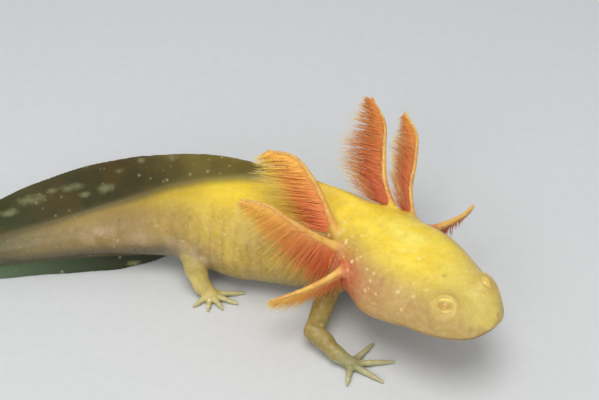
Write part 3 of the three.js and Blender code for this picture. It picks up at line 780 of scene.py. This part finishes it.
# How far the blood's colour runs out along the filaments that grow near a gill's root.
BLOOD_REACH = {("right", "middle"): 0.6, ("right", "lower"): 0.6}
EDGE_STRAND_PITCH = 0.22
EDGE_STRAND_LENGTH = 4.6
CLEAR_OF_BODY = 0.45
PATCH = 0.003


def along_curve(values, u):
    """Rows of values, evenly spaced from 0 to 1, read at u."""
    return read_at(u, np.linspace(0, 1, len(values)), values)


def clear_of_body(points):
    """Points moved out of the body, and a little way off its surface."""
    flat = points.reshape(-1, 3)
    for _ in range(2):
        missing = np.maximum(CLEAR_OF_BODY - sample(core, flat), 0)
        slope = [sample(core, flat + step) - sample(core, flat - step) for step in VOXEL * np.eye(3)]
        flat = flat + unit(np.stack(slope, -1)) * missing[:, None]
    return flat.reshape(points.shape)


def across_stalk(line, tangents, trails, u):
    """At u along a stalk: its middle, and the ways along it, of the fringe, to its side and rear."""
    along = unit(along_curve(tangents, u))
    trail = unit(along_curve(trails, u))
    face = unit(np.cross(along, trail))
    return along_curve(line, u), along, trail, face, np.cross(face, along)


def filament_spines(key):
    """Where a gill's filaments run, and each one's row, place along the stalk, paleness and reach."""
    _, stalk_long, fringe_long, _, trails = GILLS[key]
    line = gill_curve(key, 200)
    curves = line, unit(np.gradient(line, axis=0)), head_ways(key, trails)
    count = int(stalk_long * (FILAMENT_END - FILAMENT_START) / FILAMENT_PITCH)
    u = np.concatenate([(np.arange(count) + rng.uniform(0, 1, count)) / count for _ in FILAMENT_ROWS])
    u = FILAMENT_START + (FILAMENT_END - FILAMENT_START) * u
    row, share = (np.repeat([r[k] for r in FILAMENT_ROWS], count) for k in (0, 1))
    n = len(u)
    root, along, trail, face, rear = across_stalk(*curves, u)
    half = stalk_half(u)[:, None]
    start = root + face * row[:, None] * half * 0.72 + rear * half * 0.45

    # Neighbours cling together in locks, which part from each other towards the tips.
    locks = int(stalk_long / LOCK_PITCH) + 2
    lock_count = 3 * locks + 3
    lock_edges = np.linspace(0, 1, locks) + rng.uniform(-0.35, 0.35, locks) / locks
    lock = np.searchsorted(lock_edges, u) + (row > 0.3) * locks + (row < -0.3) * 2 * locks
    lock_way = rng.normal(0, 1, (lock_count, 3))
    lock_long = rng.uniform(0.9, 1.06, lock_count)
    lock_hold = rng.uniform(0.15, 0.65, lock_count)
    lock_middle = np.zeros((lock_count, 3))
    for k in np.unique(lock):
        lock_middle[k] = start[lock == k].mean(0)
    full = np.interp(u, [0, 0.5, 1], fringe_long) * (1 - 0.7 * u**9) * ramp(u, -0.08, 0.1) ** 0.5
    reach = lock_long[lock] * rng.uniform(0.46, 1.06, n)
    lean = (0.15 * row + 0.03 * rng.normal(size=n))[:, None]
    way = unit(trail + face * lean + 0.02 * rng.normal(size=(n, 3)))
    bend = 0.08 * rng.normal(size=(n, 3)) + 0.11 * lock_way[lock] + [0, 0, -0.1]
    wave = rng.uniform(0, 2 * math.pi, (n, 1))
    t = np.linspace(0, 1, TUBE_RINGS)
    long = (full * share * reach / (TUBE_RINGS - 1))[:, None]
    spine = [start]
    for k in range(1, TUBE_RINGS):
        # A filament leaves the stalk nearly square to it, then swings into the way the fringe trails.
        square = rear * (1 - ramp(t[k], 0, 0.35)) * 0.6
        step = unit(way + square + bend * t[k] ** 1.5 + 0.05 * np.sin(wave + 7 * t[k]) * along)
        spine.append(spine[-1] + step * long)
    gather = lock_hold[lock][:, None] * t[None] ** 2.4
    spine = np.stack(spine, 1) + (lock_middle[lock] - start)[:, None] * gather[..., None]

    # Short pale strands lie along the front edges of the stalk.
    count = int(stalk_long * 0.9 / EDGE_STRAND_PITCH)
    edge_u = np.linspace(0.12, 0.97, count) + rng.uniform(-0.01, 0.01, count)
    edge_row = rng.choice([-1.0, 1.0], count)
    root, along, trail, face, rear = across_stalk(*curves, edge_u)
    turn = np.radians(rng.uniform(20, 120, count))
    out = face * (edge_row * np.sin(turn))[:, None] - rear * np.cos(turn)[:, None]
    long = EDGE_STRAND_LENGTH * rng.uniform(0.5, 1.1, count) * (1 - 0.4 * edge_u)
    start = root + out * stalk_half(edge_u)[:, None] * 0.86
    way = unit(along + 0.10 * out + 0.10 * rng.normal(size=(count, 3)) + 0.12 * rear)[:, None]
    bend = (0.35 * rear - 0.20 * out)[:, None]
    t = t[None, :, None]
    edge_spine = start[:, None] + (way * t + bend * t**2 * 0.5) * long[:, None, None]

    spine = np.concatenate([spine, edge_spine])
    spine[:, 2:] = clear_of_body(spine[:, 2:])
    row = np.concatenate([row, edge_row * 1.6])
    pale = np.concatenate([np.zeros(n), np.ones(count)])
    reach = np.concatenate([reach * share, np.ones(count)])
    return spine, row, np.concatenate([u, edge_u]), pale, reach


def filaments(key):
    """One joined mesh of a gill's filaments: tapering tubes, closed at both ends."""
    spine, rows, us, pale, reach = filament_spines(key)
    n = len(spine)
    way = unit(np.gradient(spine, axis=1))
    side_way = unit(np.cross(way, head_ways(key, [[0.3, 0.9, 0.3]])[0]))
    other = np.cross(way, side_way)
    t = np.linspace(0, 1, TUBE_RINGS)
    half = FILAMENT_HALF * (1 - 0.82 * t**0.95)
    half[-1] = 0.02
    angle = (2 * np.pi * np.arange(TUBE_SIDES) / TUBE_SIDES)[:, None]
    ring = side_way[:, :, None] * np.cos(angle) + other[:, :, None] * np.sin(angle)
    tube = spine[:, :, None] + ring * half[:, None, None]
    size = TUBE_RINGS * TUBE_SIDES
    ends = [[3, 2, 1, 0], [size - 4, size - 3, size - 2, size - 1]]
    one = np.concatenate([loft(tube[0])[1], ends])
    faces = (one[None] + size * np.arange(n)[:, None, None]).reshape(-1, 4)
    blood = reach * (1 - (1 - BLOOD_REACH.get(key, 1)) * (1 - us))
    per_strand = {
        "along": blood,
        "strand": rng.uniform(0, 1, n),
        "stalk_way": us,
        "pale": pale,
    }
    strand_marks = {name: np.repeat(values, size) for name, values in per_strand.items()}
    strand_marks["along"] *= np.tile(np.repeat(t, TUBE_SIDES), n)
    made = mesh_object("gill_filaments_" + "_".join(key), to_frame(tube.reshape(-1, 3)), faces, strand_marks)
    # Each filament's patch lies at its root's place on the stalk's unwrap: along it, and round it.
    layer = made.data.uv_layers.new(name="OFBake")
    corner = np.empty(len(made.data.loops), np.int32)
    made.data.loops.foreach_get("vertex_index", corner)
    strand_of = corner // size
    ring_of = corner % size // TUBE_SIDES
    side_of = corner % TUBE_SIDES
    u = 0.04 + 0.92 * us[strand_of] + PATCH * (side_of / TUBE_SIDES - 0.5)
    v = 0.5 + 0.2 * rows[strand_of] + PATCH * (ring_of / (TUBE_RINGS - 1) - 0.5)
    layer.uv.foreach_set("vector", np.stack([u, v], -1).astype(np.float32).ravel())
    return made


fringes = {key: filaments(key) for key in GILLS}


# ---- materials
def srgb(r, g, b):
    """A colour given in 0 to 255 steps, as the linear values that shaders use."""
    parts = [value / 255 for value in (r, g, b)]
    return (*(x / 12.92 if x <= 0.04045 else ((x + 0.055) / 1.055) ** 2.4 for x in parts), 1.0)


class Nodes:
    """A short way to write one material's node tree. Where a socket's value is given, a tuple is a
    colour in 0 to 255 steps and a word is one of the mesh's marks."""

    def __init__(self, name):
        self.material = bpy.data.materials.new(name)
        self.material.use_nodes = True
        self.tree = self.material.node_tree
        self.tree.nodes.clear()
        self.output = self.tree.nodes.new("ShaderNodeOutputMaterial")

    def new(self, kind, sockets=(), **settings):
        """A node with its settings, and with its sockets linked or set."""
        made = self.tree.nodes.new(kind)
        for name, value in settings.items():
            setattr(made, name, value)
        for name, value in dict(sockets).items():
            if isinstance(value, str):
                value = self.new("ShaderNodeAttribute", attribute_name=value).outputs["Fac"]
            if isinstance(value, bpy.types.NodeSocket):
                self.tree.links.new(value, made.inputs[name])
            else:
                made.inputs[name].default_value = srgb(*value) if isinstance(value, tuple) else value
        return made

    def math(self, operation, *values, clamp=False):
        return self.new("ShaderNodeMath", enumerate(values), operation=operation, use_clamp=clamp).outputs[0]

    def part(self, value, share, clamp=False):
        return self.math("MULTIPLY", value, share, clamp=clamp)

    def mix(self, share, a, b):
        sockets = {"Factor": share, "A": a, "B": b}
        return self.new("ShaderNodeMix", sockets, data_type="RGBA").outputs["Result"]

    def coats(self, colour, *rows):
        """colour under several coats. A row gives where a coat lies, how much of it shows, and its
        colour, or else a pattern and the two colours that follow it."""
        for where, share, *tone in rows:
            coat = tone[0] if len(tone) == 1 else self.mix(*tone)
            colour = self.mix(self.part(where, share), colour, coat)
        return colour

    def noise(self, scale, detail=3.0, roughness=0.5, where=None):
        place = where or self.new("ShaderNodeTexCoord").outputs["Object"]
        sockets = {"Scale": scale, "Detail": detail, "Roughness": roughness, "Vector": place}
        return self.new("ShaderNodeTexNoise", sockets).outputs["Fac"]

    def spread(self, value, low, high):
        """value moved from low..high to 0..1, smoothly and clamped."""
        sockets = {"Value": value, "From Min": low, "From Max": high}
        return self.new("ShaderNodeMapRange", sockets, interpolation_type="SMOOTHSTEP").outputs["Result"]

    def grain(self, scale, detail, roughness, low, high):
        return self.spread(self.noise(scale, detail, roughness), low, high)

    def spots(self, scale, small, large):
        """1 inside scattered round spots, falling to 0 from small to large in shares of a cell."""
        place = self.new("ShaderNodeTexCoord").outputs["Object"]
        cells = self.new("ShaderNodeTexVoronoi", {"Scale": scale, "Randomness": 1.0, "Vector": place})
        return self.spread(cells.outputs["Distance"], large, small)

    def shade(self, sockets):
        """Ends the tree in a principled shader with these sockets, and gives the material."""
        shader = self.new("ShaderNodeBsdfPrincipled", sockets)
        self.tree.links.new(shader.outputs[0], self.output.inputs[0])
        return self.material


def skin_colour(n):
    """The living skin's colour: golden on top, tan and pink below, red round the gills, with painted shade
    on the belly, jaw, forelegs, folds and mouth and round the eyes.
    """
    broad = n.grain(55, 2, 0.5, 0.3, 0.7)
    mottle = n.grain(260, 4, 0.6, 0.32, 0.68)
    cloud = n.grain(105, 3, 0.6, 0.36, 0.66)
    veins = n.grain(170, 5, 0.65, 0.36, 0.62)
    gold = n.coats(
        n.mix(broad, (238, 204, 36), (250, 220, 52)),
        (mottle, 0.25, (222, 184, 36)),
        (n.grain(140, 5, 0.62, 0.50, 0.66), n.part("head", 0.34), (255, 234, 100)),
        (n.grain(190, 4, 0.6, 0.36, 0.6), n.part("crown", 0.75), (255, 238, 112)),
    )
    along_side = n.new("ShaderNodeCombineXYZ", {0: "station", 1: "turn"}).outputs[0]
    streak = n.spread(n.noise(1.0, 4, 0.65, along_side), 0.38, 0.66)
    flank = n.mix(cloud, (177, 147, 54), (200, 170, 66))
    # The folds' creases are darker: painted shade.
    flank = n.coats(flank, (streak, 0.36, (216, 186, 84)), ("fold", 0.35, (176, 136, 66)))
    # The belly's dull tan: its own tan darkened with painted shade.
    belly = n.mix(mottle, (118, 106, 74), (136, 122, 84))
    patch = n.part(n.math("SUBTRACT", broad, 0.5), 0.14)
    tail = n.mix("flank", (80, 72, 56), n.mix(broad, (142, 116, 68), (158, 132, 80)))
    veil = n.part(n.grain(210, 5, 0.7, 0.42, 0.62), n.part("cloud", 1.3), clamp=True)
    flush = n.part("flush", n.math("MULTIPLY_ADD", veins, 0.45, 0.9), clamp=True)
    # The limbs' tan is partly painted shade; the hind legs are paler.
    limb = n.mix(mottle, (140, 122, 60), (158, 138, 72))
    limb = n.coats(limb, ("hind", 0.85, mottle, (208, 186, 100), (224, 202, 116)))
    stalk = n.mix(veins, (212, 140, 60), (232, 182, 82))
    stalk = n.coats(stalk, (n.spots(520, 0.1, 0.3), 0.35, (255, 226, 150)))
    return n.coats(
        n.mix("flank", belly, flank),
        (n.math("ADD", "top", patch, clamp=True), 1.0, gold),
        # Pinkish tan cheeks and a paler, greener snout.
        ("cheek", 0.95, cloud, (186, 141, 86), (194, 158, 94)),
        ("snout", 0.85, "top", (186, 157, 92), (206, 186, 100)),
        # Painted shade: the jaw's underside darker tan.
        ("jaw", 0.75, cloud, (156, 127, 76), (164, 139, 88)),
        # The tail's root turns tan, with mauve and whitish clouds, then grey green towards its end.
        ("tail", 0.9, tail),
        ("tail_end", 1.0, broad, (66, 72, 44), (82, 82, 58)),
        (veil, 0.55, (196, 168, 138)),
        ("hip", 0.7, cloud, (146, 122, 104), (184, 168, 144)),
        # Blood shows through round the roots of the gills.
        (flush, 1.0, veins, (208, 114, 70), (198, 94, 62)),
        # Limbs are tan, darkened with painted shade on the forelegs and paler on the hind legs, hands paler
        # and toes nearly clear. Stalks are golden, with spots.
        ("limb", 1.0, limb),
        ("hand", 0.85, mottle, (138, 136, 92), (160, 156, 110)),
        ("toe", 0.75, (182, 182, 140)),
        ("stalk", 1.0, stalk),
        # Painted shade: warm brown along the mouth's crease.
        ("mouth", 0.5, (150, 104, 54)),
        # Painted shade: darker gold round each eye.
        ("eye_ring_shade", 0.5, (198, 164, 66)),
        # Fine pale grain, fainter on the tail, and a little dark mottling.
        (n.grain(640, 4, 0.65, 0.38, 0.66), n.math("MULTIPLY_ADD", "tail", -0.07, 0.1), (255, 244, 196)),
        (n.grain(340, 4, 0.65, 0.42, 0.68), 0.11, (160, 124, 52)),
        # Towards the fin the gold sinks into its olive.
        ("crest", 1.0, "tail", (100, 89, 34), (72, 65, 28)),
        ("freckle", 0.6, (112, 92, 48)),
        ("pearl", 0.85, (250, 226, 160)),
    )


def specks(n):
    """Whitish iridescent specks: many on cheeks, neck and flanks, few on the back and the tail."""
    large = n.part(n.spots(260, 0.10, 0.22), n.grain(120, 2, 0.5, 0.50, 0.66))
    small = n.part(n.spots(620, 0.10, 0.24), n.grain(200, 2, 0.5, 0.5, 0.62))
    share = n.math("MAXIMUM", large, n.part(small, 0.6))
    for name, fading in (("top", 0.75), ("snout", 1.0), ("tail", 0.6)):
        share = n.part(share, n.math("SUBTRACT", 1.0, n.part(name, fading)))
    return share


def moist(colour, roughness, scatter, specular=0.4, coat=0.12, coat_roughness=0.22):
    """Sockets of a moist tissue that lets some light into it."""
    return {
        "Base Color": colour, "Roughness": roughness, "Specular IOR Level": specular,
        "Coat Weight": coat, "Coat Roughness": coat_roughness, "Subsurface Weight": scatter,
        "Subsurface Radius": [1.0, 0.45, 0.2], "Subsurface Scale": 0.0022,
    }


def skin_normal(n):
    """Fine grain over soft grain, as a bump."""
    height = n.math("MULTIPLY_ADD", n.noise(2600, 3, 0.55), 0.35, n.noise(620, 3, 0.5))
    sockets = {"Height": height, "Strength": 0.28, "Distance": 0.00022}
    return n.new("ShaderNodeBump", sockets).outputs["Normal"]


def make_skin():
    n = Nodes("moist_skin")
    colour = n.coats(skin_colour(n), (specks(n), 0.7, (250, 236, 190)))
    rough = n.math("MULTIPLY_ADD", n.noise(420, 3), 0.16, 0.36)
    return n.shade({**moist(colour, rough, 0.3), "Normal": skin_normal(n)})


def make_fin():
    """The fins' membrane: olive and slightly clear, with pale blotches and small pale dots."""
    n = Nodes("fin_membrane")
    cloud = n.grain(75, 4, 0.6, 0.34, 0.66)
    near = n.mix(cloud, (100, 86, 30), (118, 106, 40))
    far = n.mix(cloud, (54, 52, 16), (78, 64, 22))
    # The blotches are whitish clouds with ragged edges.
    ragged = n.part(n.math("SUBTRACT", n.noise(330, 5, 0.6), 0.5), 2.0)
    blotch = n.spread(n.math("ADD", "blotch", ragged), 0.0, 1.2)
    blotch = n.part(blotch, n.spread("blotch", 0.0, 0.3))
    dots = n.part(n.spots(300, 0.08, 0.22), n.grain(90, 2, 0.5, 0.46, 0.58))
    membrane = n.coats(
        n.mix(n.spread("tail", 0.0, 0.9), near, far),
        ("tail_end", 0.6, (56, 66, 30)),
        ("under", 0.85, "tail_end", (46, 54, 34), (100, 122, 92)),
        (blotch, 0.62, (142, 144, 100)),
        (dots, 0.6, (176, 164, 112)),
    )
    share = n.spread("fin", 0.1, 0.95)
    colour = n.mix(share, skin_colour(n), membrane)
    clear = n.math("MULTIPLY_ADD", share, -0.08, 1.0)
    return n.shade({**moist(colour, 0.5, 0.15, 0.22, 0.0), "Normal": skin_normal(n), "Alpha": clear})


def make_filament(name, near, far, middle):
    """Filaments full of blood near the head and the stalk, golden and paler at their tips."""
    n = Nodes(name)
    root = n.mix(n.spread("stalk_way", 0.12, 0.85), n.mix("strand", *near), n.mix("strand", *far))
    colour = n.coats(
        root,
        (n.spread("along", 0.32, 0.72), 1.0, "strand", *middle),
        # The pale tips are partly their own colour and partly painted light against the shade between the
        # filaments.
        (n.spread("along", 0.62, 1.0), 1.0, "strand", (248, 212, 116), (255, 240, 170)),
        ("pale", 1.0, "strand", (230, 172, 82), (246, 212, 130)),
        (n.grain(900, 2, 0.5, 0.3, 0.7), 0.08, (214, 110, 66)),
    )
    return n.shade(moist(colour, 0.5, 0.12, 0.3, 0.05))


def make_eye():
    """A pale gold iris round a tan pupil, as in albino forms, under a wet clear cornea."""
    n = Nodes("eye")
    fibres = n.grain(2200, 4, 0.6, 0.3, 0.7)
    pupil = n.mix(fibres, (188, 150, 74), (202, 166, 84))
    iris = n.mix(fibres, (208, 176, 84), (222, 194, 100))
    wide, high = (n.math("DIVIDE", *way) for way in (("wide", 0.68), ("top", 0.36)))
    oval = n.math("ADD", n.math("POWER", wide, 2.0), n.math("POWER", high, 2.0))
    # Painted highlights: bright arcs over and under the pupil on the iris's shiny ring, strong on the right
    # eye and faint on the left.
    painted_glint_arcs = n.part(n.spread(oval, 1.7, 2.5), n.spread(oval, 5.2, 4.0))
    painted_glint_arcs = n.part(painted_glint_arcs, n.spread(n.math("ABSOLUTE", "top"), 0.2, 0.42))
    iris = n.coats(iris, (painted_glint_arcs, "painted_glint", (250, 232, 134)))
    colour = n.mix(n.spread(oval, 0.8, 1.25), pupil, iris)
    colour = n.mix(n.spread("polar", 1.12, 1.28), colour, (200, 164, 78))
    return n.shade(moist(colour, 0.24, 0.1, 0.3, 0.3, 0.05))


skin.data.materials.append(make_skin())
skin.data.materials.append(make_fin())
fin_face = marks["fin"][quads].min(1) > 0.02
skin.data.polygons.foreach_set("material_index", fin_face.astype(np.int32))
# The near and far ends of a gill, and the middle of its filaments, in two tones each. The right gills' tones
# are lighter than the left's: painted light that makes up for the shade the close filaments cast on each
# other.
FRINGE_TONES = {
    "right": (
        ((248, 134, 84), (255, 158, 92)),
        ((255, 184, 80), (255, 212, 102)),
        ((255, 206, 88), (255, 232, 110)),
    ),
    "left": (
        ((214, 104, 74), (230, 128, 78)),
        ((222, 130, 64), (238, 156, 74)),
        ((216, 146, 88), (234, 176, 106)),
    ),
}
filament_materials = {
    side: make_filament("gill_filament_" + side, *tones) for side, tones in FRINGE_TONES.items()
}
for key, fringe in fringes.items():
    fringe.data.materials.append(filament_materials[key[0]])
eye_material = make_eye()
for ball in eyeballs.values():
    ball.data.materials.append(eye_material)

# ---- what stands for what
flesh = [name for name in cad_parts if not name.startswith(("eye_", "gill_"))]
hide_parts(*flesh)
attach(skin, "root")
for key, fringe in fringes.items():
    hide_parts("gill_" + "_".join(key))
    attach(fringe, "root")
for eye_side, ball in eyeballs.items():
    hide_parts("eye_" + eye_side)
    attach(ball, "root")

# ---- floor, light and camera
FLOOR_REACH = 4.0
floor = mesh_object(
    "floor",
    [(FLOOR_REACH * x, FLOOR_REACH * y, 0) for x, y in ((-1, -1), (1, -1), (1, 1), (-1, 1))],
    [(0, 1, 2, 3)],
)
paper = Nodes("pale_floor")
grain = paper.mix(paper.noise(300, 3), (206, 208, 210), (214, 216, 217))
floor.data.materials.append(paper.shade({"Base Color": grain, "Roughness": 0.7}))
floor.location.z = -0.0002

world = bpy.data.worlds.new("studio")
world.use_nodes = True
background = world.node_tree.nodes["Background"]
background.inputs["Color"].default_value = (0.93, 0.96, 1.0, 1)
background.inputs["Strength"].default_value = 0.5
bpy.context.scene.world = world


def area_light(name, place, target, size, power, colour):
    data = bpy.data.lights.new(name, "AREA")
    data.shape = "DISK"
    data.size = size
    data.energy = power
    data.color = colour
    light = placed(name, data)
    light.location = place
    light.rotation_euler = (Vector(target) - Vector(place)).to_track_quat("-Z", "Y").to_euler()


middle = Vector([(a + b) / 2 for a, b in zip(*cad_box)])
area_light("key", middle + Vector((0.0, -0.2, 0.75)), middle, 0.55, 3.6, (1.0, 0.98, 0.94))
area_light("front", middle + Vector((-0.3, -0.75, 0.4)), middle, 0.5, 2.0, (1.0, 0.97, 0.93))

# The camera looks along +Y and down, at a point on the ground given as shares of the box.
CAMERA_PITCH = math.radians(38.5)
CAMERA_DISTANCE = 0.410
CAMERA_AIM = (0.704, 1.008)
SENSOR = 36.0
FOCAL_LENGTH = 68.37
low, high = (np.array(corner) for corner in cad_box)
aim = Vector([low[k] + (high[k] - low[k]) * CAMERA_AIM[k] for k in range(2)] + [0.0])
camera_data = bpy.data.cameras.new("camera")
camera_data.sensor_width = SENSOR
camera_data.lens = FOCAL_LENGTH
camera_data.clip_start = 0.01
camera = placed("camera", camera_data)
camera.location = aim + Vector((0, -math.cos(CAMERA_PITCH), math.sin(CAMERA_PITCH))) * CAMERA_DISTANCE
camera.rotation_euler = (math.pi / 2 - CAMERA_PITCH, 0, 0)
bpy.context.scene.camera = camera
bpy.context.scene.view_settings.view_transform = "Standard"

bpy.context.view_layer.update()
